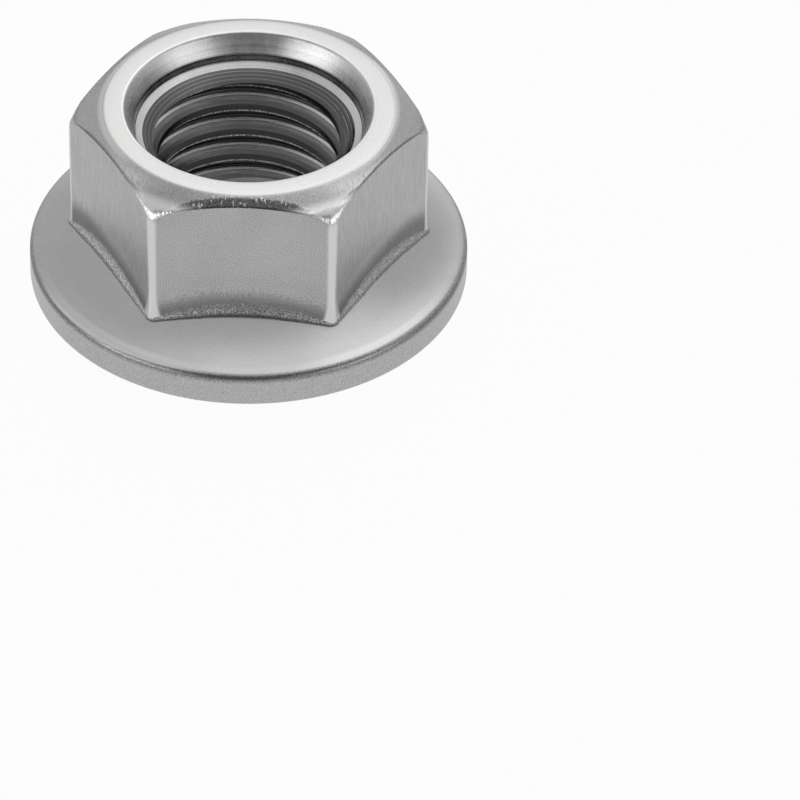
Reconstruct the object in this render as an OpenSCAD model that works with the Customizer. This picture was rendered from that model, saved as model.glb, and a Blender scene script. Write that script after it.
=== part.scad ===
// Hexagon nut with a fixed flange and a serrated bearing face, M10 size, stainless steel.
// One solid: hexagon, flared foot, dished flange, one-way teeth underneath, bore with two countersinks.
// Origin: middle of the bearing side. The tips of the teeth lie on z = 0, the thread axis is +Z.
// The thread itself is a fine helix of pitch 1.5; here its bore is cut at the minor diameter.

/* [Hexagon] */
// Width across the flats
hex_w = 14.86; // [14.6:0.02:15.1]
// Width across the six upright edges, which are turned off a little
hex_corner_d = 16.96; // [16.4:0.02:17.1]
// Height of the whole nut
nut_h = 9.95; // [9.4:0.05:11]
// Diameter of the plain ring on top, where the crown chamfer begins
crown_d = 14.3; // [13.6:0.05:14.5]
// Angle of the crown chamfer, from the top plane
crown_angle = 30; // [20:1:40]

/* [Flange] */
// Diameter of the flange
flange_d = 21; // [20.4:0.1:22]
// Height of the flange edge above the tips of the teeth
rim_h = 2.05; // [1.8:0.05:2.4]
// Rounding of the upper flange edge
rim_r = 0.4; // [0.2:0.05:0.6]
// Width of the bevel under the flange edge
rim_bevel_w = 0.5; // [0.4:0.05:0.8]
// Height of the bevel under the flange edge
rim_bevel_h = 0.36; // [0.3:0.02:0.8]
// Rise of the flange top at the rim, from the level
flange_slope = 20; // [14:1:24]
// Radius of the hollow that the flange top is turned to
flange_hollow_r = 9.6; // [8.6:0.1:12]

/* [Foot of the hexagon] */
// Radius of the flare where the flats run out into the flange
flare_r = 1.85; // [1.4:0.05:2.4]
// Height of the flare above the flange
flare_h = 1.15; // [0.8:0.05:1.3]
// Radius of the arch that the flare follows along each flat
flare_arch_r = 10.2; // [9.5:0.1:12]

/* [Bearing teeth] */
// Number of teeth
tooth_count = 25; // [22:1:27]
// Height of the teeth
tooth_h = 0.18; // [0.12:0.02:0.26]
// Radius of the curve that each tooth sweeps along, at its root
tooth_arc_r = 6.3; // [6.1:0.02:6.5]
// Distance from the thread axis to the centre of that curve
tooth_arc_offset = 12.9; // [12.8:0.02:13.2]
// Width of the steep flank, from tip to root
tooth_flank_w = 0.5; // [0.3:0.05:0.6]
// Width of the ramp at its widest
tooth_ramp_w = 0.97; // [0.8:0.01:1.1]
// Turn of the ramp against the line to the thread axis
tooth_ramp_turn = 40; // [38:0.5:43]

/* [Bore] */
// Minor diameter of the thread
bore_d = 8.7; // [8.4:0.02:9]
// Major diameter of the thread, where both countersinks reach it
thread_d = 10; // [9.8:0.05:10.4]
// Mouth of the upper countersink
top_mouth_d = 11.8; // [11.2:0.05:12.4]
// Diameter where the upper countersink ends in a short wall
top_step_d = 10.88; // [10.8:0.02:11.2]
// Depth of the upper countersink
top_step_h = 0.97; // [0.6:0.01:1.3]
// Diameter at the foot of the short wall
top_wall_d = 10.76; // [10.5:0.02:10.8]
// Height of the short wall
top_wall_h = 0.36; // [0.1:0.02:0.5]
// Depth of the seat ring, from the wall down to the major diameter
top_sink_h = 0.2; // [0.1:0.02:0.4]
// Mouth of the lower countersink
low_mouth_d = 12.5; // [12:0.05:12.8]
// Diameter where the lower countersink turns steeper
low_step_d = 11.4; // [10.8:0.05:11.8]
// Depth of the outer part of the lower countersink
low_step_h = 0.4; // [0.2:0.05:0.8]
// Depth of the steeper part of the lower countersink
low_sink_h = 1.4; // [0.8:0.05:1.8]
// Angle of the thread start chamfer, from the level
start_angle = 30; // [20:1:45]

/* [Hidden] */
$fn = 144;
eps = 0.05;
steel = [0.72, 0.72, 0.70];

hex_in = hex_w / 2;
land_r = hex_corner_d / 2;
edge_y = land_r / 2;

rim_out = flange_d / 2;
rim_in = rim_out - rim_r;
lip_r = rim_in + rim_r * sin(flange_slope);
lip_z = rim_h - rim_r + rim_r * cos(flange_slope);
hollow_x = lip_r + flange_hollow_r * sin(flange_slope);
hollow_z = lip_z + flange_hollow_r * cos(flange_slope);

// Height of the flange top at a distance r from the axis
function flange_z(r) = hollow_z - sqrt(pow(flange_hollow_r, 2) - pow(hollow_x - r, 2));

// How far the flare stands out at a depth d under its start
function flare_out(d) = flare_r - eps - sqrt(pow(flare_r, 2) - d * d);

foot_out = flare_out(flare_h);
foot_z = flange_z(hex_in + foot_out);
flare_z = foot_z + flare_h;
arch_z = flare_z - flare_arch_r;

edge_foot_z = arch_z + sqrt(pow(flare_arch_r - flare_h, 2) - edge_y * edge_y);
edge_flare_z = arch_z + sqrt(flare_arch_r * flare_arch_r - edge_y * edge_y);
edge_flare_h = edge_flare_z - edge_foot_z;
edge_flare_r = (pow(foot_out, 2) + pow(edge_flare_h, 2)) / (2 * foot_out);

tooth_tip_r = tooth_arc_r - tooth_flank_w;
ramp_start = tooth_tip_r - tooth_ramp_w;
ramp_angle = atan(tooth_h / tooth_ramp_w);
limit_z = (tooth_h + rim_bevel_h) / 2;

bore_r = bore_d / 2;
start_h = (thread_d / 2 - bore_r) * tan(start_angle);
sink_foot_z = nut_h - top_step_h - top_wall_h - top_sink_h;

// Six-sided bar that the hexagon is cut from
module bar() {
    translate([0, 0, rim_h / 2])
        linear_extrude(nut_h)
            polygon([for (i = [0:5]) hex_in / cos(30) * [cos(60 * i), sin(60 * i)]]);
}

// Turned outline of the hexagon: crown chamfer on top, narrow lands on the edges, flare at the foot
module outline() {
    rotate_extrude()
        difference() {
            polygon([
                [0, 0],
                [land_r + 2 * foot_out, 0],
                [land_r + 2 * foot_out, edge_flare_z],
                [land_r, edge_flare_z],
                [land_r, nut_h - (land_r - crown_d / 2) * tan(crown_angle)],
                [crown_d / 2, nut_h],
                [0, nut_h]
            ]);
            translate([land_r + edge_flare_r - eps, edge_flare_z])
                circle(r = edge_flare_r);
        }
}

// Flare at the foot of one flat: it sweeps along an arch, high in the middle and low at the edges
module flat_flare() {
    intersection() {
        translate([hex_in, 0, arch_z])
            rotate([0, 90, 0])
                rotate([0, 0, 145])
                    rotate_extrude(angle = 70)
                        difference() {
                            translate([flare_arch_r - flare_h - 0.6, -1])
                                square([flare_h + 0.6, 1 + foot_out + 0.2]);
                            translate([flare_arch_r, flare_r - eps])
                                circle(r = flare_r);
                        }
        linear_extrude(nut_h)
            polygon([[0, 0], [12, -12 * tan(30)], [12, 12 * tan(30)]]);
    }
}

// Flange with a rounded rim, a dished top and a bevel below
module flange() {
    rotate_extrude()
        difference() {
            union() {
                polygon([
                    [0, tooth_h],
                    [rim_out - rim_bevel_w + tooth_h * rim_bevel_w / rim_bevel_h, tooth_h],
                    [rim_out, rim_bevel_h],
                    [rim_out, rim_h - rim_r],
                    [lip_r, lip_z],
                    [lip_r, flare_z],
                    [0, flare_z]
                ]);
                translate([rim_in, rim_h - rim_r])
                    circle(r = rim_r);
            }
            intersection() {
                translate([hollow_x, hollow_z])
                    circle(r = flange_hollow_r, $fn = 288);
                translate([0, rim_h - rim_r])
                    square([lip_r, flare_z]);
            }
        }
}

// One tooth: a ramp that climbs to a curved tip line and drops over a steep conical flank
module tooth() {
    translate([tooth_arc_offset, 0, 0])
        rotate([0, 0, 180 - tooth_ramp_turn])
            intersection() {
                cylinder(h = 2 * tooth_h, r1 = tooth_tip_r, r2 = tooth_tip_r + 2 * tooth_flank_w);
                translate([ramp_start, 0, tooth_h])
                    rotate([0, ramp_angle, 0])
                        translate([-1, -6, 0])
                            cube([tooth_ramp_w + 2.5, 12, 2]);
            }
}

// All teeth, trimmed by the bevel under the rim and by the mouth of the bore
module teeth() {
    intersection() {
        for (i = [0:tooth_count - 1])
            rotate([0, 0, i * 360 / tooth_count])
                tooth();
        rotate_extrude()
            polygon([
                [low_mouth_d / 2, 0],
                [rim_out - rim_bevel_w, 0],
                [rim_out - rim_bevel_w + limit_z * rim_bevel_w / rim_bevel_h, limit_z],
                [low_mouth_d / 2, limit_z]
            ]);
    }
}

// Everything that is open along the axis
module bore() {
    rotate_extrude()
        polygon([
            [0, -1],
            [low_mouth_d / 2, -1],
            [low_mouth_d / 2, tooth_h],
            [low_step_d / 2, tooth_h + low_step_h],
            [thread_d / 2, tooth_h + low_step_h + low_sink_h],
            [bore_r, tooth_h + low_step_h + low_sink_h + start_h],
            [bore_r, sink_foot_z - start_h],
            [thread_d / 2, sink_foot_z],
            [top_wall_d / 2, sink_foot_z + top_sink_h],
            [top_step_d / 2, nut_h - top_step_h],
            [top_mouth_d / 2, nut_h],
            [top_mouth_d / 2, nut_h + 1],
            [0, nut_h + 1]
        ]);
}

// The nut
module nut() {
    color(steel)
        difference() {
            union() {
                intersection() {
                    union() {
                        bar();
                        for (i = [0:5])
                            rotate([0, 0, 60 * i - 90])
                                flat_flare();
                    }
                    outline();
                }
                flange();
                teeth();
            }
            bore();
        }
}

nut();
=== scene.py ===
"""Serrated flange nut in satin stainless steel, turned, milled and threaded in Blender.

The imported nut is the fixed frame. One piece stands for it: it is turned from a profile, its
hexagon is milled, its bearing teeth are raised and its thread is cut. A stage comes with it.
"""

import math

import bmesh
import bpy
from bpy.props import FloatProperty, FloatVectorProperty, IntProperty, PointerProperty
from mathutils import Matrix, Vector


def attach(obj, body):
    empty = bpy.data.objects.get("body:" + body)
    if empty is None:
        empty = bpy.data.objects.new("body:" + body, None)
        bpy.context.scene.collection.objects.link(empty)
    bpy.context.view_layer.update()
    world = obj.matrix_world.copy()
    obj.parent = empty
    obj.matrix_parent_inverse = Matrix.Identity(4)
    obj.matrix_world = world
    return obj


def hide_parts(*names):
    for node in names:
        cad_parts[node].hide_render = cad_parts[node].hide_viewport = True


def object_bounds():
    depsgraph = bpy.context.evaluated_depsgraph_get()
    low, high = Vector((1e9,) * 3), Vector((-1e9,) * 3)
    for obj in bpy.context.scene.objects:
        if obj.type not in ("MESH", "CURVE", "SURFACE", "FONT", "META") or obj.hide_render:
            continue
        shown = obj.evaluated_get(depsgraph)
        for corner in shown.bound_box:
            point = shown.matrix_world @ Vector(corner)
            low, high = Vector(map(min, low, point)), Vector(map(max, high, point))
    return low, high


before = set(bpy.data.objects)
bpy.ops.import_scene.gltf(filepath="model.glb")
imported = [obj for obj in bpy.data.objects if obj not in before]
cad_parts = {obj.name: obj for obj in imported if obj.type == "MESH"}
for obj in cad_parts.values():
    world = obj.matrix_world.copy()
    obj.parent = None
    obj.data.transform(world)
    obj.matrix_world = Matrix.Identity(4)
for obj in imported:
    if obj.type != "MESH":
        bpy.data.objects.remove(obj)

cad_low, cad_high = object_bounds()

bl_info = {
    "name": "Serrated flange nut",
    "version": (1, 0, 0),
    "blender": (4, 5, 0),
    "location": "View3D > Sidebar > Flange nut",
    "description": "Turns, mills and threads a serrated flange nut and stages it",
    "category": "Add Mesh",
}

PIECE = "flange_nut"
MM = 0.001
SIDES = 6
FLAT_POINTS = 19
CORNER_POINTS = 9
COLUMNS = SIDES * (FLAT_POINTS + CORNER_POINTS)

# Millimetres: where the rows of the crown ring and of the bearing plane lie, the softness of the
# upper mouth and of the chamfer's start, the bulge of each flat and the fillet at its foot
CROWN_ROWS = (6.15, 6.3, 6.45, 6.6, 6.72)
BEARING_ROWS = (9.2, 8.2, 7.2, 6.5)
MOUTH_SOFT = 0.09
ROLL = 0.14
SWELL = 0.07
FILLET = 0.05


# Sizes and finishes


def length(name, description, millimetres):
    """A length in metres that the panel shows in the scene's own unit."""
    return FloatProperty(
        name=name,
        description=description,
        default=millimetres * MM,
        min=0.0,
        max=60.0 * MM,
        precision=5,
        unit="LENGTH",
        subtype="DISTANCE",
    )


def angle(name, description, degrees):
    """An angle between level and upright."""
    return FloatProperty(
        name=name,
        description=description,
        default=math.radians(degrees),
        min=0.0,
        max=math.radians(90),
        unit="ROTATION",
        subtype="ANGLE",
    )


def share(name, description, value, high=1.0):
    """A plain number from 0 up."""
    return FloatProperty(
        name=name, description=description, default=value, min=0.0, max=high, precision=3
    )


def colour(name, description, value):
    """A linear colour."""
    return FloatVectorProperty(
        name=name,
        description=description,
        default=value,
        size=3,
        min=0.0,
        max=1.0,
        subtype="COLOR",
    )


class NutSizes(bpy.types.PropertyGroup):
    """Sizes of the nut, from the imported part"""

    hex_width: length("Width across flats", "Distance between two opposite flats", 14.86)
    hex_corner: length("Corner rounding", "Radius of the six upright edges", 0.36)
    height: length("Height", "Whole height of the nut", (cad_high - cad_low).z / MM)
    crown: length("Crown", "Diameter where the crown chamfer begins", 13.85)
    crown_angle: angle("Crown angle", "Slope of the crown chamfer", 30)
    flange: length("Flange", "Diameter of the flange", (cad_high - cad_low).x / MM)
    rim_height: length("Rim height", "Top of the flange edge above the teeth", 2.05)
    rim_round: length("Rim rounding", "Radius of the upper flange edge", 0.4)
    bevel_width: length("Bevel width", "Width of the bevel under the flange", 0.5)
    bevel_height: length("Bevel height", "Height of the bevel under the flange", 0.36)
    flange_slope: angle("Flange slope", "Rise of the flange top at its edge", 20)
    flange_hollow: length("Flange hollow", "Radius that the flange top is dished to", 9.6)
    flare: length("Flare radius", "Radius of the run-out from flat to flange", 1.85)
    flare_height: length("Flare height", "Height of the run-out in the middle of a flat", 1.15)
    flare_bite: length("Flare bite", "How far the run-out's curve begins inside the flat", 0.05)
    flare_arch: length("Flare arch", "Radius of the arch that the run-out follows", 10.2)
    teeth: IntProperty(
        name="Teeth",
        description="Number of teeth on the bearing side",
        default=25,
        min=12,
        max=40,
    )
    tooth_height: length("Tooth height", "Height of the teeth", 0.18)
    tooth_arc: length("Tooth arc", "Radius of the curve at a tooth's root", 6.3)
    tooth_offset: length("Tooth offset", "From the axis to the centre of that curve", 12.9)
    tooth_flank: length("Tooth flank", "Width of the steep side of a tooth", 0.5)
    tooth_ramp: length("Tooth ramp", "Width of the gentle side of a tooth", 0.97)
    tooth_turn: angle("Tooth turn", "Turn of the ramp against the line to the axis", 40)
    bore: length("Bore", "Minor diameter of the thread", 8.7)
    thread: length("Thread", "Major diameter of the thread", 10.0)
    pitch: length("Pitch", "Rise of the thread in one turn", 1.5)
    thread_lift: length("Thread lift", "Height of the first groove at azimuth 0", 0.955)
    thread_start: length("Thread start", "Height of the chamfer at each end", 0.375)
    top_mouth: length("Top mouth", "Mouth of the upper countersink", 11.8)
    top_step: length("Top step", "Diameter where the upper countersink ends in a wall", 10.88)
    top_step_depth: length("Top step depth", "Depth of the upper countersink", 0.97)
    top_wall: length("Top wall", "Diameter at the foot of the short wall", 10.76)
    top_wall_height: length("Top wall height", "Height of the short wall", 0.36)
    top_seat_height: length("Seat height", "Depth of the seat ring under the wall", 0.2)
    low_mouth: length("Low mouth", "Mouth of the lower countersink", 12.5)
    low_step: length("Low step", "Diameter where the lower countersink turns steeper", 11.4)
    low_step_height: length("Low step height", "Depth of its outer part", 0.4)
    low_sink_height: length("Low sink height", "Depth of its steeper part", 1.4)


class NutFinish(bpy.types.PropertyGroup):
    """Colours and roughness of the steel"""

    steel: colour("Steel", "Colour of the milled and turned steel", (0.63, 0.63, 0.625))
    bearing: colour("Bearing steel", "Colour of the pressed bearing face", (0.56, 0.555, 0.54))
    # Thread steel: a darker steel that also paints the shade inside the bore.
    thread: colour("Thread steel", "Colour of the tapped thread", (0.3, 0.3, 0.3))
    # Pits and shade: a dark colour for the pits of the grain, which also paints shade along the
    # chamfer's edge, in the foot's crease, on the rim's rounding and in the countersinks.
    pits_and_shade: colour("Grain shadow", "Colour in the pits of the blasted bands", (0.11, 0.11, 0.11))
    turned_rough: share("Turned roughness", "Roughness of the crown and flange", 0.27)
    milled_rough: share("Milled roughness", "Roughness of the six flats", 0.27)
    bearing_rough: share("Bearing roughness", "Roughness of the bearing face", 0.36)
    thread_rough: share("Thread roughness", "Roughness of the thread", 0.22)
    grain: length("Grain", "Size of the steel's grain", 0.06)


class StageLook(bpy.types.PropertyGroup):
    """Floor, lamps and camera"""

    floor: colour("Floor", "Colour of the floor", (0.8, 0.8, 0.8))
    back_lamp: share("Back lamp", "Brightness of the softbox behind and above", 0.1, 20.0)
    side_lamp: share("Side lamps", "Brightness of the two softboxes in front", 0.3, 20.0)
    dome: share("Dome", "Brightness of the studio's walls", 1.0, 20.0)


# Small helpers


def deselect():
    """Leaves edit mode and selects nothing."""
    if bpy.context.object and bpy.context.object.mode != "OBJECT":
        bpy.ops.object.mode_set(mode="OBJECT")
    bpy.ops.object.select_all(action="DESELECT")


def only(obj):
    """Makes one object the active and only selected one."""
    deselect()
    obj.select_set(True)
    bpy.context.view_layer.objects.active = obj


def newest(name):
    """Names the object that an operator has just made."""
    obj = bpy.context.object
    obj.name = name
    obj.data.name = name
    return obj


def finish_modifier(obj, kind, **settings):
    """Adds one modifier, sets it and applies it."""
    only(obj)
    bpy.ops.object.modifier_add(type=kind)
    modifier = obj.modifiers[-1]
    for key, value in settings.items():
        setattr(modifier, key, value)
    bpy.ops.object.modifier_apply(modifier=modifier.name)


def whole_mesh(obj, operator, **settings):
    """Runs one mesh operator on everything in an object's mesh."""
    only(obj)
    bpy.ops.object.mode_set(mode="EDIT")
    bpy.ops.mesh.select_all(action="SELECT")
    operator(**settings)
    bpy.ops.object.mode_set(mode="OBJECT")


def outward(obj):
    """Points all faces outwards."""
    whole_mesh(obj, bpy.ops.mesh.normals_make_consistent, inside=False)


def remove(obj):
    """Takes a helper object and its mesh away."""
    mesh = obj.data
    bpy.data.objects.remove(obj)
    bpy.data.meshes.remove(mesh)


def open_edges(obj):
    """How many edges don't have exactly two faces."""
    work = bmesh.new()
    work.from_mesh(obj.data)
    count = sum(len(e.link_faces) != 2 for e in work.edges)
    work.free()
    return count


def smooth(value, low, high):
    """A smooth step from 0 at low to 1 at high."""
    t = min(max((value - low) / (high - low), 0.0), 1.0)
    return t * t * (3 - 2 * t)


def curve_between(a, corner, b, steps):
    """Points of a soft corner from a to b, with both ends."""
    shares = [i / steps for i in range(steps + 1)]
    return [(1 - t) ** 2 * a + 2 * t * (1 - t) * corner + t * t * b for t in shares]


def next_to(a, near):
    """An azimuth, moved by whole turns to lie close to another."""
    return a + round((near - a) / (2 * math.pi)) * 2 * math.pi


# The turned and milled form


class NutForm:
    """Works out where each point of the nut's skin lies, in millimetres."""

    def __init__(self, s):
        self.hex_in = s.hex_width / 2 / MM
        self.corner = s.hex_corner / MM
        self.height = s.height / MM
        self.crown_r = s.crown / 2 / MM
        self.crown_tan = math.tan(s.crown_angle)
        self.rim_out = s.flange / 2 / MM
        self.rim_h = s.rim_height / MM
        self.rim_r = s.rim_round / MM
        self.bevel_w = s.bevel_width / MM
        self.bevel_h = s.bevel_height / MM
        self.tooth_h = s.tooth_height / MM
        self.hollow_r = s.flange_hollow / MM
        self.flare_r = s.flare / MM
        self.flare_h = s.flare_height / MM
        self.bite = s.flare_bite / MM
        self.arch_r = s.flare_arch / MM
        self.bore_r = s.bore / 2 / MM
        self.thread_r = s.thread / 2 / MM
        self.mouth_r = s.top_mouth / 2 / MM
        self.low_mouth_r = s.low_mouth / 2 / MM
        self.low_step_r = s.low_step / 2 / MM
        self.low_step_z = self.tooth_h + s.low_step_height / MM
        self.slope = slope = s.flange_slope
        self.rim_in = self.rim_out - self.rim_r
        self.lip_r = self.rim_in + self.rim_r * math.sin(slope)
        self.lip_z = self.rim_h - self.rim_r + self.rim_r * math.cos(slope)
        self.hollow_x = self.lip_r + self.hollow_r * math.sin(slope)
        self.hollow_z = self.lip_z + self.hollow_r * math.cos(slope)
        reach = self.flare_r - self.bite - math.sqrt(self.flare_r**2 - self.flare_h**2)
        self.flare_start = math.sqrt(self.flare_r**2 - (self.flare_r - self.bite) ** 2)
        self.flare_z = self.flange_z(self.hex_in + reach) + self.flare_h
        self.arch_z = self.flare_z - self.arch_r
        self.hexagon = self.hexagon_points()
        self.turned = self.turned_profile(s)

    def flange_z(self, r):
        """Height of the dished flange top at a distance from the axis."""
        return self.hollow_z - math.sqrt(self.hollow_r**2 - (self.hollow_x - r) ** 2)

    def dome(self, r):
        """How far the crown ring has sunk at a distance from the axis."""
        return 0.06 * max(r - 6.3, 0.0) ** 2

    def hexagon_points(self):
        """One point, normal and place along its flat for each column, round the hexagon."""
        half = (self.hex_in - self.corner) * math.tan(math.radians(30))
        points = []
        for side in range(SIDES):
            turn = Matrix.Rotation(math.radians(60 * side - 90), 3, "Z")
            for i in range(FLAT_POINTS):
                y = half * (2 * i / (FLAT_POINTS - 1) - 1)
                place = turn @ Vector((self.hex_in, y, 0))
                points.append((place, turn @ Vector((1, 0, 0)), y))
            for i in range(1, CORNER_POINTS + 1):
                a = math.radians(60 * i / (CORNER_POINTS + 1))
                out = turn @ Vector((math.cos(a), math.sin(a), 0))
                middle = turn @ Vector((self.hex_in - self.corner, half, 0))
                y = half + self.corner * 0.5 * math.sin(math.pi * i / (CORNER_POINTS + 1))
                points.append((middle + self.corner * out, out, y))
        return points

    def even_angle(self, column):
        """Azimuth of a column where the columns are spread evenly."""
        return math.radians(-90 + 360 * (column - (FLAT_POINTS - 1) / 2) / COLUMNS)

    def round_point(self, column, r, z, follow):
        """A point on a turned surface; follow 1 keeps to the hexagon's own columns."""
        even = self.even_angle(column)
        place = self.hexagon[column][0]
        own = next_to(math.atan2(place.y, place.x), even)
        a = even + (own - even) * follow
        return Vector((r * math.cos(a), r * math.sin(a), z))

    def flare_out(self, y, z):
        """How far the run-out stands out of the flat."""
        depth = self.arch_r - math.hypot(y, z - self.arch_z)
        d = min(max(depth, 0.0), self.flare_r * 0.999)
        return max(self.flare_r - self.bite - math.sqrt(self.flare_r**2 - d * d), 0.0)

    def swell(self, y, z):
        """How far a flat bulges: most where its run-out starts, nothing at the foot."""
        above = z - self.flare_top(y)
        if above > 0:
            return SWELL * max(1 - above / 1.2, 0.0) ** 2
        return SWELL * max(1 + above / 0.7, 0.0)

    def flare_top(self, y):
        """Height at which the run-out starts on a column."""
        return self.arch_z + math.sqrt((self.arch_r - self.flare_start) ** 2 - y * y)

    def flare_foot(self, column):
        """Height at which the run-out meets the flange top."""
        place, out, y = self.hexagon[column]
        low, high = 0.5, self.flare_top(y)
        for _ in range(40):
            middle = (low + high) / 2
            p = place + out * (self.flare_out(y, middle) + self.swell(y, middle))
            if middle > self.flange_z(math.hypot(p.x, p.y)):
                high = middle
            else:
                low = middle
        return (low + high) / 2

    def column(self, k):
        """All points of one column, from the mouth of the bore round to the mouth again."""
        place, out, y = self.hexagon[k]
        up = Vector((0, 0, 1))
        own = place.normalized()
        edge_r = place.length
        top = self.height

        # crown: a plain ring that rolls over into the chamfer
        points = []
        for i, r in enumerate((self.mouth_r + MOUTH_SOFT, *CROWN_ROWS)):
            points.append(self.round_point(k, r, top - self.dome(r), i / 6))
        roll_r = self.crown_r - ROLL
        a = Vector((roll_r, 0, top - self.dome(roll_r)))
        c = Vector((self.crown_r, 0, top - self.dome(self.crown_r)))
        b = c + 0.15 * Vector((1, 0, -self.crown_tan)).normalized()
        roll = curve_between(a, c, b, 6)

        # chamfer down to the edge of the hexagon, which is a little soft
        edge = Vector((edge_r, 0, c.z - (edge_r - self.crown_r) * self.crown_tan))
        soft = 0.09 + 0.58 * smooth(abs(y), 3.2, 4.25)
        start = edge + soft * Vector((-1, 0, self.crown_tan)).normalized()
        slope = [b.lerp(start, f) for f in (0.25, 0.5, 0.75)]
        points += [self.round_point(k, p.x, p.z, 1) for p in roll + slope]
        edge_point = place + up * edge.z
        first = edge_point + soft * (-own + up * self.crown_tan).normalized()
        points += curve_between(first, edge_point, edge_point - up * soft, 8)

        # flat, then the run-out to the flange
        high = edge.z - soft
        low = self.flare_top(y)
        points += [place + up * (high + (low - high) * f) for f in (0.03, 0.35, 0.6)]
        for rise in (1.1, 0.88, 0.66, 0.44, 0.22, 0.03):
            points.append(place + up * (low + rise) + out * self.swell(y, low + rise))
        foot = self.flare_foot(k)
        for i in range(10):
            z = low + (foot + FILLET * 0.8 - low) * (i / 9) ** 1.4
            points.append(place + up * z + out * (self.flare_out(y, z) + self.swell(y, z)))
        crease = place + up * foot + out * (self.flare_out(y, foot) + self.swell(y, foot))
        away = Vector((crease.x, crease.y, 0)).normalized()
        run_r = math.hypot(crease.x, crease.y) + FILLET
        run = away * run_r + up * self.flange_z(run_r)
        points += curve_between(points[-1], crease, run, 4)[1:]

        # dished flange top: the columns spread out evenly toward the rim
        even = self.even_angle(k)
        crease_a = next_to(math.atan2(crease.y, crease.x), even)
        for i in range(1, 10):
            f = i / 9
            r = run_r + (self.lip_r - run_r) * f
            a = crease_a + (even - crease_a) * smooth(f, 0, 1)
            points.append(Vector((r * math.cos(a), r * math.sin(a), self.flange_z(r))))
        return points + [self.round_point(k, p.x, p.z, 0) for p in self.turned]

    def turned_profile(self, s):
        """The purely turned rows: rim, bevel, bearing plane and bore, at azimuth 0."""
        profile = []
        for i in range(1, 9):
            t = (math.radians(90) - self.slope) * (1 - i / 8)
            z = self.rim_h - self.rim_r + self.rim_r * math.sin(t)
            profile.append(Vector((self.rim_in + self.rim_r * math.cos(t), 0, z)))
        heel = Vector((self.rim_out, 0, self.bevel_h))
        slant = Vector((-self.bevel_w, 0, -self.bevel_h)).normalized()
        profile.append(heel + Vector((0, 0, 0.6)))
        profile += curve_between(heel + Vector((0, 0, 0.16)), heel, heel + slant * 0.16, 4)
        sole_r = self.rim_out - self.bevel_w * (1 - self.tooth_h / self.bevel_h)
        sole = Vector((sole_r, 0, self.tooth_h))
        profile += curve_between(sole - slant * 0.03, sole, sole - Vector((0.03, 0, 0)), 2)
        profile += [Vector((r, 0, self.tooth_h)) for r in BEARING_ROWS]
        return profile + self.bore_profile(s, profile[-1])

    def bore_profile(self, s, before):
        """The bore's rows from its lower mouth to its upper one, with soft corners."""
        start = s.thread_start / MM
        low_foot = self.low_step_z + s.low_sink_height / MM
        step_z = self.height - s.top_step_depth / MM
        wall_z = step_z - s.top_wall_height / MM
        seat_z = wall_z - s.top_seat_height / MM
        corners = (
            (self.low_mouth_r, self.tooth_h, 0.03),
            (self.low_step_r, self.low_step_z, 0.05),
            (self.thread_r, low_foot, 0.03),
            (self.bore_r, low_foot + start, 0.02),
            (self.bore_r, seat_z - start, 0.02),
            (self.thread_r, seat_z, 0.05),
            (s.top_wall / 2 / MM, wall_z, 0.04),
            (s.top_step / 2 / MM, step_z, 0.04),
            (self.mouth_r, self.height, MOUTH_SOFT),
            (self.mouth_r + 1, self.height, 0),
        )
        long_wall = 4
        points = []
        for i, (r, z, size) in enumerate(corners[:-1]):
            corner = Vector((r, 0, z))
            back = (before - corner).normalized()
            ahead = (Vector((corners[i + 1][0], 0, corners[i + 1][1])) - corner).normalized()
            soft = curve_between(corner + back * size, corner, corner + ahead * size, 3)
            if i == long_wall:
                points += [before.lerp(soft[0], f) for f in (0.25, 0.5, 0.75)]
            points += soft
            before = points[-1]
        return points[:-1]


def profile_ring(name, profile):
    """A closed ring of edges through points of radius and height, at azimuth 0."""
    bpy.ops.mesh.primitive_circle_add(vertices=len(profile), radius=1, location=(0, 0, 0))
    ring = newest(name)
    for v, (r, z) in zip(ring.data.vertices, profile):
        v.co = (r, 0, z)
    return ring


def turned_skin(name, profile):
    """A closed skin, spun about the axis from points of radius and height."""
    ring = profile_ring(name, profile)
    whole_mesh(
        ring,
        bpy.ops.mesh.spin,
        steps=COLUMNS,
        angle=2 * math.pi,
        center=(0, 0, 0),
        axis=(0, 0, 1),
        use_auto_merge=False,
    )
    whole_mesh(ring, bpy.ops.mesh.remove_doubles, threshold=0.0002)
    return ring


def column_profile(form):
    """Radius and height of each row of the first column."""
    return [(math.hypot(p.x, p.y), p.z) for p in form.column(0)]


def mill_hexagon(blank, form):
    """Moves each point of the turned blank to its place on the milled nut."""
    rows = column_profile(form)
    grid = [form.column(k) for k in range(COLUMNS)]

    def key(r, z):
        """A place in half thousandths of a millimetre."""
        return round(r * 2000), round(z * 2000)

    order = {}
    for i, (r, z) in enumerate(rows):
        order.setdefault(key(r, z), i)
    for v in blank.data.vertices:
        a = math.atan2(v.co.y, v.co.x)
        k = round(a / (2 * math.pi) * COLUMNS) % COLUMNS
        r, z = math.hypot(v.co.x, v.co.y), v.co.z
        i = order.get(key(r, z))
        if i is None:
            i = min(range(len(rows)), key=lambda n: (rows[n][0] - r) ** 2 + (rows[n][1] - z) ** 2)
        v.co = grid[k][i]


def cut_with(target, tool, operation):
    """Joins, cuts or keeps the shared part, and takes the tool away."""
    finish_modifier(target, "BOOLEAN", operation=operation, object=tool, solver="MANIFOLD")
    remove(tool)


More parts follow.
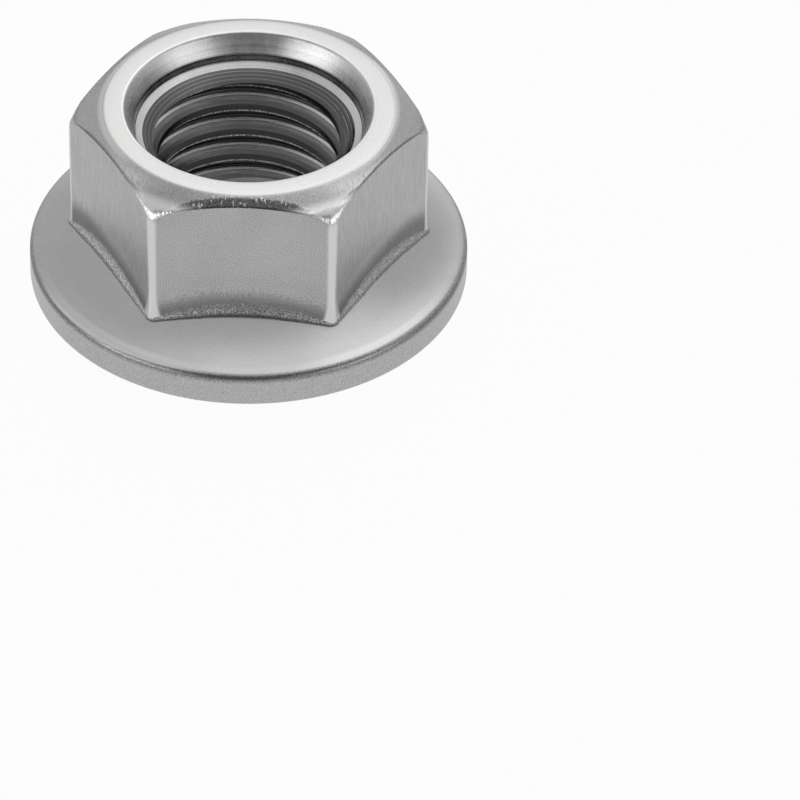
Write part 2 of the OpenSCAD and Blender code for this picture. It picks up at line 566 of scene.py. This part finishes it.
def bearing_tooth(s):
    """One tooth: a cone that sets the steep side, kept above a slanting plane."""
    h = s.tooth_height / MM
    tip = (s.tooth_arc - s.tooth_flank) / MM
    bpy.ops.mesh.primitive_cone_add(
        vertices=360,
        radius1=tip,
        radius2=tip + 2 * s.tooth_flank / MM,
        depth=2 * h,
        location=(0, 0, h),
    )
    tooth = newest("tooth")
    slope = math.atan2(h, s.tooth_ramp / MM)
    start = tip - s.tooth_ramp / MM
    whole_mesh(
        tooth,
        bpy.ops.mesh.bisect,
        plane_co=(start, 0, h),
        plane_no=(math.sin(slope), 0, math.cos(slope)),
        use_fill=True,
        clear_inner=True,
    )
    turn = Matrix.Rotation(math.pi - s.tooth_turn, 4, "Z")
    tooth.data.transform(Matrix.Translation((s.tooth_offset / MM, 0, 0)) @ turn)
    return tooth


def tooth_limit(s):
    """The turned ring that trims the teeth at the bevel and at the bore."""
    inner = s.low_mouth / 2 / MM + 0.03
    outer = (s.flange / 2 - s.bevel_width) / MM
    slant = s.bevel_width / s.bevel_height
    top = (s.tooth_height + s.bevel_height) / 2 / MM
    below = -0.2
    corners = [(inner, below), (outer + below * slant, below), (outer + top * slant, top)]
    ring = turned_skin("tooth_limit", [*corners, (inner, top)])
    ring.data.transform(Matrix.Rotation(math.radians(-90), 4, "Z"))
    outward(ring)
    return ring


def thread_tap(s):
    """A helical tap with the groove's section and rounded root, longer than the bore."""
    root = s.thread / 2 / MM
    bore = s.bore / 2 / MM
    pitch = s.pitch / MM
    flank = math.tan(math.radians(30))
    crest_half = 0.55 / 1.5 * pitch
    rounding, past = 0.2, 0.12
    foot_r = root - rounding
    foot = Vector((foot_r, 0, crest_half - (foot_r - bore) * flank))
    inner = Vector((bore - past, 0, crest_half + past * flank))
    corner = foot + (foot - inner).normalized() * rounding
    half = [Vector((bore - 0.6, 0, inner.z)), inner]
    half += curve_between(foot, corner, Vector((root, 0, 0.05)), 4)
    facet = Vector((foot.x + 0.05, 0, -foot.z + 0.06))
    section = [Vector((p.x, 0, -p.z)) for p in half[:2]]
    section.append(Vector((foot.x, 0, -foot.z)))
    bend = facet + Vector((0.08, 0, 0.03))
    section += curve_between(facet, bend, Vector((root, 0, -0.05)), 3)
    section += reversed(half)
    tap = profile_ring("thread_tap", [(p.x, p.z) for p in section])
    finish_modifier(tap, "SCREW", screw_offset=pitch, iterations=7, steps=72)
    tap.data.transform(Matrix.Translation((0, 0, s.thread_lift / MM - pitch)))
    whole_mesh(tap, bpy.ops.mesh.fill_holes, sides=0)
    outward(tap)
    return tap


# The materials

# Colours of painted highlights.
BRIGHT = (0.97, 0.97, 0.96, 1.0)
SOFT_HIGHLIGHT = (0.95, 0.95, 0.94, 1.0)


def math_node(tree, operation, *items):
    """One Math node on shader values and plain numbers."""
    node = tree.nodes.new("ShaderNodeMath")
    node.operation = operation
    for i, item in enumerate(items):
        if isinstance(item, Val):
            tree.links.new(item.socket, node.inputs[i])
        else:
            node.inputs[i].default_value = item
    return Val(tree, node.outputs[0])


class Val:
    """A shader value that can be used in plain arithmetic."""

    def __init__(self, tree, socket):
        self.tree = tree
        self.socket = socket

    def math(self, operation, *others):
        """One Math node on this value and the others."""
        return math_node(self.tree, operation, self, *others)

    def __add__(self, other):
        return self.math("ADD", other)

    __radd__ = __add__

    def __sub__(self, other):
        return self.math("SUBTRACT", other)

    def __rsub__(self, other):
        return math_node(self.tree, "SUBTRACT", other, self)

    def __mul__(self, other):
        return self.math("MULTIPLY", other)

    def __truediv__(self, other):
        return self.math("DIVIDE", other)

    def __neg__(self):
        return self.math("MULTIPLY", -1.0)

    def __abs__(self):
        return self.math("ABSOLUTE")

    def root(self):
        """The square root, or 0 where the value is negative."""
        return self.math("MAXIMUM", 0.0).math("SQRT")


class Nodes:
    """The node tree of a material or a world, built value by value."""

    def __init__(self, owner):
        owner.use_nodes = True
        self.tree = owner.node_tree
        self.tree.nodes.clear()

    def add(self, kind, settings=None, output=0, **sockets):
        """Any node: its settings first, then the values or links of its sockets."""
        node = self.tree.nodes.new(kind)
        for key, value in (settings or {}).items():
            setattr(node, key, value)
        for key, value in sockets.items():
            numbered = key[0] == "i" and key[1:].isdigit()
            socket = node.inputs[int(key[1:]) if numbered else key.replace("_", " ")]
            if isinstance(value, Val):
                self.tree.links.new(value.socket, socket)
            else:
                socket.default_value = value
        return Val(self.tree, node.outputs[output]) if node.outputs else None

    def parts(self, vector):
        """The x, y and z of a vector."""
        node = self.add("ShaderNodeSeparateXYZ", Vector=vector).socket.node
        return [Val(self.tree, socket) for socket in node.outputs]

    def ease(self, value, low, high):
        """A smooth step from 0 at low to 1 at high."""
        kind = {"interpolation_type": "SMOOTHSTEP"}
        return self.add("ShaderNodeMapRange", kind, Value=value, From_Min=low, From_Max=high)

    def eye(self):
        """1 for what the camera sees directly or through glass, otherwise 0."""
        seen = self.add("ShaderNodeLightPath", output="Is Camera Ray")
        through = self.add("ShaderNodeLightPath", output="Is Transmission Ray")
        return (seen + through).math("MINIMUM", 1.0)


class Finish(Nodes):
    """A material."""

    def __init__(self, name):
        self.material = bpy.data.materials.new(name)
        super().__init__(self.material)

    def place(self):
        """Object coordinates as a vector, then x, y, z and the distance from the axis."""
        where = self.add("ShaderNodeTexCoord", output="Object")
        x, y, z = self.parts(where)
        return where, x, y, z, (x * x + y * y).root()

    def rise(self, value, low, high):
        """A smooth step between two lengths in millimetres."""
        return self.ease(value, low * MM, high * MM)

    def strip(self, value, low, full, fade, high):
        """1 from full to fade, 0 below low and above high, in millimetres."""
        return self.rise(value, low, full) * (1.0 - self.rise(value, fade, high))

    def stretched(self, where, scale):
        """The place, scaled along each axis."""
        return self.add("ShaderNodeVectorMath", {"operation": "MULTIPLY"}, i0=where, i1=scale)

    def noise(self, where, scale, detail, roughness):
        """Soft noise from 0 to 1, with so many waves in a metre."""
        return self.add(
            "ShaderNodeTexNoise", Vector=where, Scale=scale, Detail=detail, Roughness=roughness
        )

    def rings(self, radius, z, scale, roughness):
        """Noise that changes with radius and height only, as a cutting tool leaves it."""
        lines = self.add("ShaderNodeCombineXYZ", X=radius, Y=0.0, Z=z)
        return self.noise(lines, scale, 3.0, roughness)

    def blend(self, factor, a, b):
        """A colour between a and b."""
        return self.add(
            "ShaderNodeMix", {"data_type": "RGBA"}, output=2, i0=factor, i6=a, i7=b
        )

    def grained(self, sand, rgb, depth):
        """The colour of a blasted surface: darker in its pits and lighter on its tops."""
        low, high = shade_of(rgb, 1 - depth), shade_of(rgb, 1 + depth)
        return self.blend(self.ease(sand, 0.3, 0.7), low, high)

    def steel(self, base, roughness, height, strength, distance):
        """A metal surface with a bump, linked to the output."""
        bump = self.add("ShaderNodeBump", Height=height, Strength=strength, Distance=distance)
        shader = self.add(
            "ShaderNodeBsdfPrincipled",
            Base_Color=base,
            Roughness=roughness,
            Metallic=1.0,
            Normal=bump,
        )
        self.add("ShaderNodeOutputMaterial", Surface=shader)
        return self.material


def grey(value):
    """A neutral linear colour."""
    return (value, value, value, 1.0)


def shade_of(rgb, share_of=1.0):
    """A colour with full alpha, darker or lighter."""
    return tuple(min(c * share_of, 1.0) for c in tuple(rgb)[:3]) + (1.0,)


def across_flats(x, y):
    """Distance from the axis, measured square to the nearest flat."""
    slant = x * math.cos(math.pi / 6)
    left, right = abs(slant + y * 0.5), abs(slant - y * 0.5)
    return abs(y).math("MAXIMUM", left).math("MAXIMUM", right)


def turned_steel(f):
    """Crown and flange top: a faint grain, a soft cloudy tone and a painted highlight along the
    flange's outer edge in front.
    """
    m = Finish("turned_steel")
    where, x, y, _, radius = m.place()
    grain = m.noise(where, 0.9 / f.grain, 2.0, 0.5)
    cloud = m.noise(where, 300.0, 3.0, 0.55)
    base = m.grained(grain * 0.7 + cloud * 0.3, f.steel, 0.07)
    # Painted highlight along the flange's outer edge, strongest at the left and right front.
    lip_highlight = m.rise(radius, 9.85, 10.05) * 0.34 + m.rise(radius, 8.9, 9.7) * 0.1
    lip_highlight = lip_highlight * (m.rise(abs(x), 2.0, 5.0) * 0.65 + 0.35)
    base = m.blend(lip_highlight * m.rise(-y, 2.0, 6.5), base, BRIGHT)
    rough = f.turned_rough + (cloud - 0.5) * 0.16
    return m.steel(base, rough, grain * 0.5 + cloud * 2.0, 0.3, 0.00001)


def chamfer_steel(f, s):
    """The crown chamfer: rough along its front edge, with painted shade along that edge and over
    the front, and painted highlights at both front tips and at the sides.
    """
    m = Finish("chamfer_steel")
    where, x, y, _, radius = m.place()
    reach = across_flats(x, y)
    along = (radius * radius - reach * reach).root()
    sand = m.noise(where, 1.0 / f.grain, 2.0, 0.6)
    wrinkle = m.noise(m.stretched(where, (1.0, 0.4, 0.4)), 8000.0, 3.0, 0.6)
    front = m.rise(-y, 5.2, 6.6)
    ahead = m.rise(-y, 2.5, 5.0)
    width = (1.0 - m.rise(along, 2.0, 4.1)) * 0.38 * MM + 0.05 * MM
    edge = reach - s.hex_width / 2 + width * (front * 0.75 + 0.25)
    torn_and_shade = m.rise(edge + (wrinkle - 0.5) * (front * 0.27 + 0.1) * MM, -0.05, 0.08)
    tip = m.rise(radius, 7.5, 8.0) * ahead
    field = m.rise(radius, 6.95, 7.4) * ahead * (1.0 - front)
    beside = (1.0 - m.rise(radius, 7.06, 7.2)) * m.rise(abs(x), 4.8, 6.2)
    fringe = m.rise(edge, -0.16, -0.02) * front * (1.0 - tip)
    light = shade_of(f.steel, 1.5)
    base = m.grained(sand, f.steel, 0.16)
    # Painted shade over the front of the chamfer.
    base = m.blend(front * 0.5, base, m.grained(sand, shade_of(f.steel, 0.55), 0.3))
    # Painted highlight on the chamfer just behind its front.
    base = m.blend(field * m.ease(wrinkle, 0.3, 0.6) * 0.75, base, light)
    # Painted highlight at the chamfer's inner edge on the left and right.
    base = m.blend(beside * 0.7, base, BRIGHT)
    # Painted highlight at both front tips.
    base = m.blend(tip * 0.95, base, BRIGHT)
    # Painted shade in a rough band along the chamfer's lower edge, darkest in front.
    ragged_shade = torn_and_shade * (front * 0.32 + 0.6) * (1.0 - tip)
    base = m.blend(ragged_shade, base, m.grained(sand, f.pits_and_shade, 0.6))
    # Painted highlight in flecks along the front edge.
    base = m.blend(m.ease(wrinkle, 0.58, 0.65) * fringe * 0.8, base, light)
    rough = f.turned_rough + (wrinkle - 0.5) * 0.1 - tip * 0.05
    height = sand * 0.4 + wrinkle * (torn_and_shade * 3.0 + front * 1.2 + 0.3)
    return m.steel(base, rough, height, 0.5, 0.000014)


def milled_steel(f, form):
    """The flats: sandy in front, brushed at the sides, with painted highlights on the upright
    edges and painted shade toward the foot.
    """
    m = Finish("milled_steel")
    where, x, y, z, radius = m.place()
    reach = across_flats(x, y)
    sand = m.noise(where, 1.3 / f.grain, 3.0, 0.65)
    brushed = m.noise(m.stretched(where, (1.0, 1.0, 0.06)), 1.0 / f.grain, 2.0, 0.5)
    cloud = m.noise(where, 420.0, 3.0, 0.55)
    side_skin = m.grained(sand * 0.5 + brushed * 0.5, shade_of(f.steel, 0.97), 0.2)
    front_skin = m.grained(sand * 0.9 + cloud * 0.1, shade_of(f.steel, 0.94), 0.42)
    base = m.blend(m.rise(-y, 7.2, 7.4), side_skin, front_skin)
    # Painted shade above the run-out to the flange, reaching higher near the far corners.
    arch = ((form.arch_r - form.flare_start) * MM) ** 2
    along = (radius * radius - reach * reach).math("MAXIMUM", 0.0)
    above = z - form.arch_z * MM - (arch - along).root()
    above = above - (1.0 - m.rise(-y, 0.5, 5.0)) * 0.45 * MM
    below = 1.0 - m.rise(above, -0.1, 0.9)
    base = m.blend(below * 0.72, base, shade_of(f.steel, 0.22))
    # Painted highlight on the rounded upright edges.
    edge = m.rise(radius, 8.40, 8.49)
    base = m.blend(edge * 0.95, base, SOFT_HIGHLIGHT)
    rough = f.milled_rough + (cloud - 0.5) * 0.1 - edge * 0.05
    return m.steel(base, rough, sand + brushed * 0.6 + cloud * 0.8, 0.35, 0.00001)


def foot_steel(f, form):
    """The crescents under the flats: blasted and grey, with a painted highlight along the ridge
    and painted shade in the crease.
    """
    m = Finish("foot_steel")
    where, x, y, z, radius = m.place()
    off = radius - form.hollow_x * MM
    dish = ((form.hollow_r * MM) ** 2 - off * off).root()
    lift = z - form.hollow_z * MM + dish
    light = shade_of(f.steel, 1.45)
    sand = m.noise(where, 1.0 / f.grain, 2.0, 0.6)
    base = m.grained(sand, shade_of(f.steel, 0.55), 0.5)
    base = m.blend(m.ease(sand, 0.62, 0.7) * 0.8, base, light)
    front = m.rise(-y, 7.2, 7.5)
    reach = 1.0 - m.ease(lift, 0.16 * MM, 0.5 * MM - front * 0.2 * MM)
    # Painted highlight along the ridge above the crease, stronger on the left.
    ridge = m.rise(lift, 0.04, 0.12) * reach * m.ease(sand, 0.36 + front * 0.1, 0.6)
    base = m.blend(ridge * (0.85 - m.rise(x, -2.0, 5.0) * 0.4), base, light)
    # Painted shade in the crease at the flange, darkest in front.
    crease = 1.0 - m.rise(lift, 0.03, 0.13)
    base = m.blend(crease * (front * 0.5 + 0.25), base, shade_of(f.pits_and_shade))
    return m.steel(base, f.milled_rough + 0.03, sand, 0.8, 0.00003)


def rim_steel(f):
    """The edge of the flange: grainy, with painted shade as a dark line on its rounding, a
    painted glint, satin below.
    """
    m = Finish("rim_steel")
    where, x, y, z, _ = m.place()
    high = m.strip(z, 1.5, 1.7, 1.93, 2.0)
    sand = m.noise(where, 1.0 / f.grain, 2.0, 0.65)
    cloud = m.noise(where, 300.0, 2.0, 0.5)
    # The rounding's skin is grainy and darkened by painted shade.
    shaded_grainy_skin = m.grained(sand, shade_of(f.steel, 0.7), 0.45)
    base = m.blend(high, m.grained(sand, f.steel, 0.2), shaded_grainy_skin)
    # Painted shade as a dark line at the top of the rim face.
    base = m.blend(m.strip(z, 1.66, 1.78, 1.86, 1.94) * 0.45, base, shade_of(f.pits_and_shade))
    # Painted glint at the left front.
    glint = m.rise(z, 1.86, 1.95) * m.rise(-y, 3.0, 6.0) * m.rise(-x, 1.0, 4.0)
    base = m.blend(glint * 0.85, base, BRIGHT)
    rough = f.milled_rough - 0.06 + (cloud - 0.5) * 0.12
    return m.steel(base, rough, sand * (0.5 + high), 0.45, 0.000014)


def bearing_steel(f, s):
    """The pressed bearing face: warm grey, brushed on the ramps, dark and rough on the tips."""
    m = Finish("bearing_steel")
    where, x, y, z, radius = m.place()
    sand = m.noise(where, 1.0 / f.grain, 4.0, 0.7)
    turn = y.math("ARCTAN2", x)
    swept = m.add("ShaderNodeCombineXYZ", X=radius * 0.1, Y=turn * 0.02, Z=z * 0.5)
    brushed = m.noise(swept, 9000.0, 3.0, 0.6)
    tip = 1.0 - m.rise(z, 0.02, 0.07)
    root = m.ease(z, s.tooth_height - 0.03 * MM, s.tooth_height - 0.004 * MM)
    base = m.grained(sand * 0.7 + brushed * 0.3, f.bearing, 0.24)
    base = m.blend(tip * m.ease(sand, 0.3, 0.6) * 0.75, base, shade_of(f.pits_and_shade))
    rough = f.bearing_rough + (brushed - 0.5) * 0.16 + tip * 0.1 - root * 0.05
    return m.steel(base, rough, sand * 0.6 + brushed * 0.9, 0.4, 0.000012)


def grainy_ring_steel(f):
    """The cone round the lower mouth: blasted, dark and sparkling."""
    m = Finish("grainy_ring_steel")
    where = m.place()[0]
    sand = m.noise(where, 1.1 / f.grain, 4.0, 0.8)
    base = m.grained(sand, shade_of(f.bearing, 0.5), 0.6)
    base = m.blend(m.ease(sand, 0.6, 0.68) * 0.8, base, shade_of(f.bearing, 1.4))
    return m.steel(base, f.bearing_rough + 0.02, sand, 0.8, 0.00003)


def countersink_steel(f):
    """Both countersinks: ringed, with painted highlights at both sides, painted shade as dark
    lines at the wall and painted shade toward the bottom.
    """
    m = Finish("countersink_steel")
    where, x, _, z, radius = m.place()
    rings = m.rings(radius, z, 9000.0, 0.6)
    grain = m.noise(where, 0.9 / f.grain, 3.0, 0.65)
    cloud = m.noise(m.stretched(where, (1.0, 1.0, 0.5)), 900.0, 3.0, 0.6)
    base = m.grained(grain * 0.3 + cloud * 0.3 + rings * 0.4, shade_of(f.steel, 1.1), 0.3)
    # Painted highlights on the left and right of each countersink.
    base = m.blend(m.ease(abs(x) / radius, 0.55, 0.95) * 0.75, base, SOFT_HIGHLIGHT)
    # Painted shade as dark lines at both ends of the short wall.
    wall = m.strip(z, 8.60, 8.64, 9.0, 9.08)
    middle = m.strip(z, 8.68, 8.74, 8.86, 8.92)
    base = m.blend(wall * (0.6 - middle * 0.5), base, shade_of(f.pits_and_shade))
    # Painted shade toward the bottom of the bore.
    base = m.blend((1.0 - m.rise(z, 1.2, 3.0)) * 0.5, base, shade_of(f.pits_and_shade))
    rough = f.thread_rough + 0.06 + (rings - 0.5) * 0.16 + (cloud - 0.5) * 0.2
    height = rings * 1.6 + grain * 0.5 + cloud * 2.5
    return m.steel(base, rough, height, 0.4, 0.00001)


def thread_steel(f, s):
    """The thread: fine-lined flanks, painted shade on the inner flanks, roots and crests, and
    painted highlights along both.
    """
    m = Finish("thread_steel")
    where, x, y, z, radius = m.place()
    rings = m.rings(radius, z, 16000.0, 0.65)
    grain = m.noise(where, 1.0 / f.grain, 2.0, 0.6)
    turns = y.math("ARCTAN2", x) / (2 * math.pi)
    climb = ((z - s.thread_lift) / s.pitch - turns).math("FRACT") * (s.pitch / MM)
    cut = 1.0 - m.ease(z, s.height - 1.9 * MM, s.height - 1.85 * MM)
    open_flank = 1.0 - m.rise(radius, 4.5, 4.66)
    base = m.grained(grain * 0.3 + rings * 0.7, f.thread, 0.4)
    # Painted shade over the inner part of the flanks, and over the whole start at the top.
    base = m.blend((1.0 - (1.0 - open_flank) * cut) * 0.62, base, grey(0.06))
    groove = (radius / (0.17 * MM)).math("FRACT")
    scratch = m.ease(groove, 0.7, 0.78) * (1.0 - m.ease(groove, 0.86, 0.94)) * (1.0 - cut)
    scratch = scratch * (m.ease(rings, 0.42, 0.62) * 0.85 + 0.1)
    base = m.blend(scratch * 0.7, base, grey(0.7))
    crest = 1.0 - m.rise(radius, 4.36, 4.38)
    # Painted shade in the roots and on the crests.
    base = m.blend(m.rise(radius, 4.88, 4.91) * cut * 0.8, base, grey(0.05))
    base = m.blend(crest * cut * 0.6, base, grey(0.05))
    # Painted highlight along each root.
    facet = m.strip(radius, 4.78, 4.79, 4.87, 4.89)
    base = m.blend(facet * cut * 0.95, base, grey(0.95))
    # Painted highlight along the crest edge of each turn.
    burr_glint = crest * m.ease(climb, 0.53, 0.55) * (1.0 - m.ease(climb, 0.61, 0.64))
    base = m.blend(burr_glint * m.ease(grain, 0.4, 0.6) * cut, base, grey(0.8))
    rough = f.thread_rough + (rings - 0.5) * 0.2
    return m.steel(base, rough, rings * 1.2 + grain * 0.5, 0.4, 0.00001)


def zone_of(centre, normal, form):
    """Which finish a face has, from its place and the way it faces."""
    r = math.hypot(centre.x, centre.y) / MM
    z = centre.z / MM
    inward = Vector((centre.x, centre.y, 0)).normalized().dot(normal) < -0.02
    if r < form.thread_r + 0.03 and 1.6 < z < form.height - 1.5:
        return "thread"
    in_low_cone = form.low_step_r - 0.04 < r < form.low_mouth_r + 0.01
    if in_low_cone and z < form.low_step_z + 0.05 and inward:
        return "ring"
    if r < form.mouth_r + 0.1 and inward:
        return "countersink"
    if z < form.tooth_h + 0.02 and normal.z < 0.1 and r < form.rim_out - 0.28:
        return "bearing"
    if r > form.rim_in and z < form.lip_z - 0.02:
        return "rim"
    if r > form.crown_r - 0.02 and z > form.height - 1.4 and normal.z > 0.2:
        return "chamfer"
    if z > form.rim_h and abs(normal.z) < 0.19 and r > 7:
        return "flat"
    if z > form.rim_h and 0.19 <= normal.z < 0.66 and 7 < r < 9.5 and z < 5:
        return "foot"
    return "turned"


# Operators


class NUT_OT_turn_and_mill(bpy.types.Operator):
    """Turn the blank, mill the hexagon and run it out into the flange"""

    bl_idname = "mesh.nut_turn_and_mill"
    bl_label = "Turn and mill the nut"

    def execute(self, context):
        deselect()
        form = NutForm(context.scene.nut_sizes)
        nut = turned_skin(PIECE, column_profile(form))
        mill_hexagon(nut, form)
        outward(nut)
        if open_edges(nut):
            raise RuntimeError("the milled nut isn't closed")
        return {"FINISHED"}


class NUT_OT_raise_teeth(bpy.types.Operator):
    """Raise the one-way teeth on the bearing side"""

    bl_idname = "mesh.nut_raise_teeth"
    bl_label = "Raise the bearing teeth"

    def execute(self, context):
        s = context.scene.nut_sizes
        deselect()
        first = bearing_tooth(s)
        cut_with(first, tooth_limit(s), "INTERSECT")
        nut = bpy.data.objects[PIECE]
        for i in range(s.teeth):
            tooth = first.copy()
            tooth.data = first.data.copy()
            context.collection.objects.link(tooth)
            tooth.data.transform(Matrix.Rotation(2 * math.pi * i / s.teeth, 4, "Z"))
            cut_with(nut, tooth, "UNION")
        remove(first)
        if open_edges(nut):
            raise RuntimeError("the nut isn't closed after its teeth were raised")
        return {"FINISHED"}


class NUT_OT_cut_thread(bpy.types.Operator):
    """Cut the helical thread into the bore"""

    bl_idname = "mesh.nut_cut_thread"
    bl_label = "Cut the thread"

    def execute(self, context):
        deselect()
        nut = bpy.data.objects[PIECE]
        cut_with(nut, thread_tap(context.scene.nut_sizes), "DIFFERENCE")
        if open_edges(nut):
            raise RuntimeError("the nut isn't closed after its thread was cut")
        return {"FINISHED"}


class NUT_OT_finish_steel(bpy.types.Operator):
    """Bring the nut to its real size, give each face its finish and tie it to the frame"""

    bl_idname = "mesh.nut_finish_steel"
    bl_label = "Finish the steel"

    def execute(self, context):
        s = context.scene.nut_sizes
        f = context.scene.nut_finish
        nut = bpy.data.objects[PIECE]
        nut.data.transform(Matrix.Scale(MM, 4))
        form = NutForm(s)
        finishes = {
            "turned": turned_steel(f),
            "flat": milled_steel(f, form),
            "foot": foot_steel(f, form),
            "chamfer": chamfer_steel(f, s),
            "rim": rim_steel(f),
            "bearing": bearing_steel(f, s),
            "ring": grainy_ring_steel(f),
            "countersink": countersink_steel(f),
            "thread": thread_steel(f, s),
        }
        nut.data.materials.clear()
        for material in finishes.values():
            nut.data.materials.append(material)
        zones = list(finishes)
        for face in nut.data.polygons:
            face.material_index = zones.index(zone_of(face.center, face.normal, form))
        only(nut)
        bpy.ops.object.shade_smooth_by_angle(angle=math.radians(32))
        finish_modifier(nut, "WEIGHTED_NORMAL", keep_sharp=True, weight=50)
        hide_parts("nut")
        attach(nut, "root")
        return {"FINISHED"}


class NUT_OT_set_stage(bpy.types.Operator):
    """Lay the floor, hang the softboxes, light the walls and set up the camera"""

    bl_idname = "mesh.nut_set_stage"
    bl_label = "Set the stage"

    def execute(self, context):
        look = context.scene.nut_stage
        lay_floor(look)
        light_walls(look, context.scene)
        softbox("back_softbox", (0.0, 0.34, 0.32), 0.26, 0.26, look.back_lamp)
        softbox("left_softbox", (-0.42, -0.24, 0.08), 0.14, 0.16, look.side_lamp)
        softbox("right_softbox", (0.42, -0.24, 0.08), 0.14, 0.16, look.side_lamp)
        set_camera(context.scene)
        context.scene.view_settings.view_transform = "Standard"
        return {"FINISHED"}


# The stage


def lay_floor(look):
    """A pale floor that the camera sees white, apart from the nut's shadow."""
    bpy.ops.mesh.primitive_plane_add(size=4.0, location=(0, 0, -0.00002))
    floor = newest("floor")
    m = Finish("pale_floor")
    eye = m.eye()
    glossy = m.add("ShaderNodeLightPath", output="Is Glossy Ray")
    radius = m.place()[-1]
    # For reflections the floor glows, brightest near the nut: a painted pool of light.
    near = 1.0 - m.rise(radius, 30.0, 100.0)
    outside = m.rise(radius, 5.8, 6.2)
    factor = eye * 0.955 * outside + glossy * (outside * 0.5 + 0.4)
    matt = m.add("ShaderNodeBsdfDiffuse", Color=shade_of(look.floor))
    lit = eye + (1.0 - eye) * (near * 0.44 + 0.2)
    white = m.add("ShaderNodeEmission", Color=grey(1.0), Strength=lit)
    mixed = m.add("ShaderNodeMixShader", i0=factor, i1=matt, i2=white)
    m.add("ShaderNodeOutputMaterial", Surface=mixed)
    floor.data.materials.append(m.material)


def light_walls(look, scene):
    """The studio round the nut: dim in front, bright behind and overhead, white to the eye."""
    scene.world = bpy.data.worlds.new("studio")
    m = Nodes(scene.world)
    x, y, z = m.parts(m.add("ShaderNodeTexCoord", output="Generated"))
    over = z.math("ARCTAN2", -y)

    def raised(low, high):
        """A smooth step along the arc from the front wall over the ceiling to the back wall."""
        return m.ease(over, math.radians(low), math.radians(high))

    band = m.ease(x, -0.44, -0.04) * (1.0 - m.ease(x + y * 0.35, 0.45, 0.8))
    ceiling = raised(76, 96) * 0.48 + raised(104, 130) * 0.44
    left_card = m.ease(-y * 0.57 - x * 0.82, 0.8, 0.97) * 1.55
    right_card = m.ease(-y * 0.57 + x * 0.82, 0.8, 0.97) * 1.1
    cards = (left_card + right_card) * (1.0 - m.ease(z, 0.25, 0.5))
    fade = 1.0 - raised(130, 156) * 0.5
    glow = 0.19 + raised(45, 66) * 0.31 + band * ceiling * fade + cards
    eye = m.eye()
    strength = eye + (1.0 - eye) * glow * look.dome
    light = m.add("ShaderNodeBackground", Color=grey(1.0), Strength=strength)
    m.add("ShaderNodeOutputWorld", Surface=light)


def softbox(name, place, width, height, brightness):
    """A rectangular lamp that points at the nut."""
    data = bpy.data.lights.new(name, "AREA")
    data.shape = "RECTANGLE"
    data.size = width
    data.size_y = height
    data.energy = brightness * math.pi * width * height
    lamp = bpy.data.objects.new(name, data)
    bpy.context.collection.objects.link(lamp)
    lamp.location = place
    aim = Vector((0, 0, 0.005)) - Vector(place)
    lamp.rotation_euler = aim.to_track_quat("-Z", "Y").to_euler()


def set_camera(scene):
    """Looks down on the nut from the front, with the nut high and left in the frame."""
    data = bpy.data.cameras.new("camera")
    camera = bpy.data.objects.new("camera", data)
    scene.collection.objects.link(camera)
    scene.camera = camera
    target = Vector((0, 0, 4.5 * MM))
    height, turn, distance = math.radians(37.63), 0.0436, 0.3
    back = Vector((turn * math.cos(height), -math.cos(height), math.sin(height))).normalized()
    picture, focal, column, row = 800, 6279.0, 248.77, 197.3
    data.sensor_width = 36.0
    data.lens = focal * data.sensor_width / picture
    right = (-back).cross(Vector((0, 0, 1))).normalized()
    up = right.cross(-back)
    straight = Matrix((right, up, back)).transposed()
    sight = Vector((column - picture / 2, picture / 2 - row, -focal)).normalized()
    swing = sight.rotation_difference(Vector((0, 0, -1))).to_matrix()
    camera.rotation_mode = "QUATERNION"
    camera.rotation_quaternion = (straight @ swing).to_quaternion()
    camera.location = target + back * distance
    data.clip_start = 0.01
    data.clip_end = 20


# The add-on


class NUT_PT_panel(bpy.types.Panel):
    """Sizes, finishes and steps of the flange nut"""

    bl_idname = "NUT_PT_panel"
    bl_label = "Serrated flange nut"
    bl_space_type = "VIEW_3D"
    bl_region_type = "UI"
    bl_category = "Flange nut"

    def draw(self, context):
        column = self.layout.column()
        for step in STEPS:
            column.operator(step.bl_idname)
        for group in (context.scene.nut_sizes, context.scene.nut_finish, context.scene.nut_stage):
            box = self.layout.box()
            for name in group.bl_rna.properties.keys():
                if name not in ("rna_type", "name"):
                    box.prop(group, name)


STEPS = (
    NUT_OT_turn_and_mill,
    NUT_OT_raise_teeth,
    NUT_OT_cut_thread,
    NUT_OT_finish_steel,
    NUT_OT_set_stage,
)
CLASSES = (NutSizes, NutFinish, StageLook, *STEPS, NUT_PT_panel)


def register():
    """Makes the classes and their settings known to Blender."""
    for item in CLASSES:
        bpy.utils.register_class(item)
    bpy.types.Scene.nut_sizes = PointerProperty(type=NutSizes)
    bpy.types.Scene.nut_finish = PointerProperty(type=NutFinish)
    bpy.types.Scene.nut_stage = PointerProperty(type=StageLook)


def unregister():
    """Takes them away again."""
    del bpy.types.Scene.nut_stage
    del bpy.types.Scene.nut_finish
    del bpy.types.Scene.nut_sizes
    for item in reversed(CLASSES):
        bpy.utils.unregister_class(item)


def main():
    """Builds the nut and its stage."""
    register()
    bpy.ops.mesh.nut_turn_and_mill()
    bpy.ops.mesh.nut_raise_teeth()
    bpy.ops.mesh.nut_cut_thread()
    bpy.ops.mesh.nut_finish_steel()
    bpy.ops.mesh.nut_set_stage()


if __name__ == "__main__":
    main()
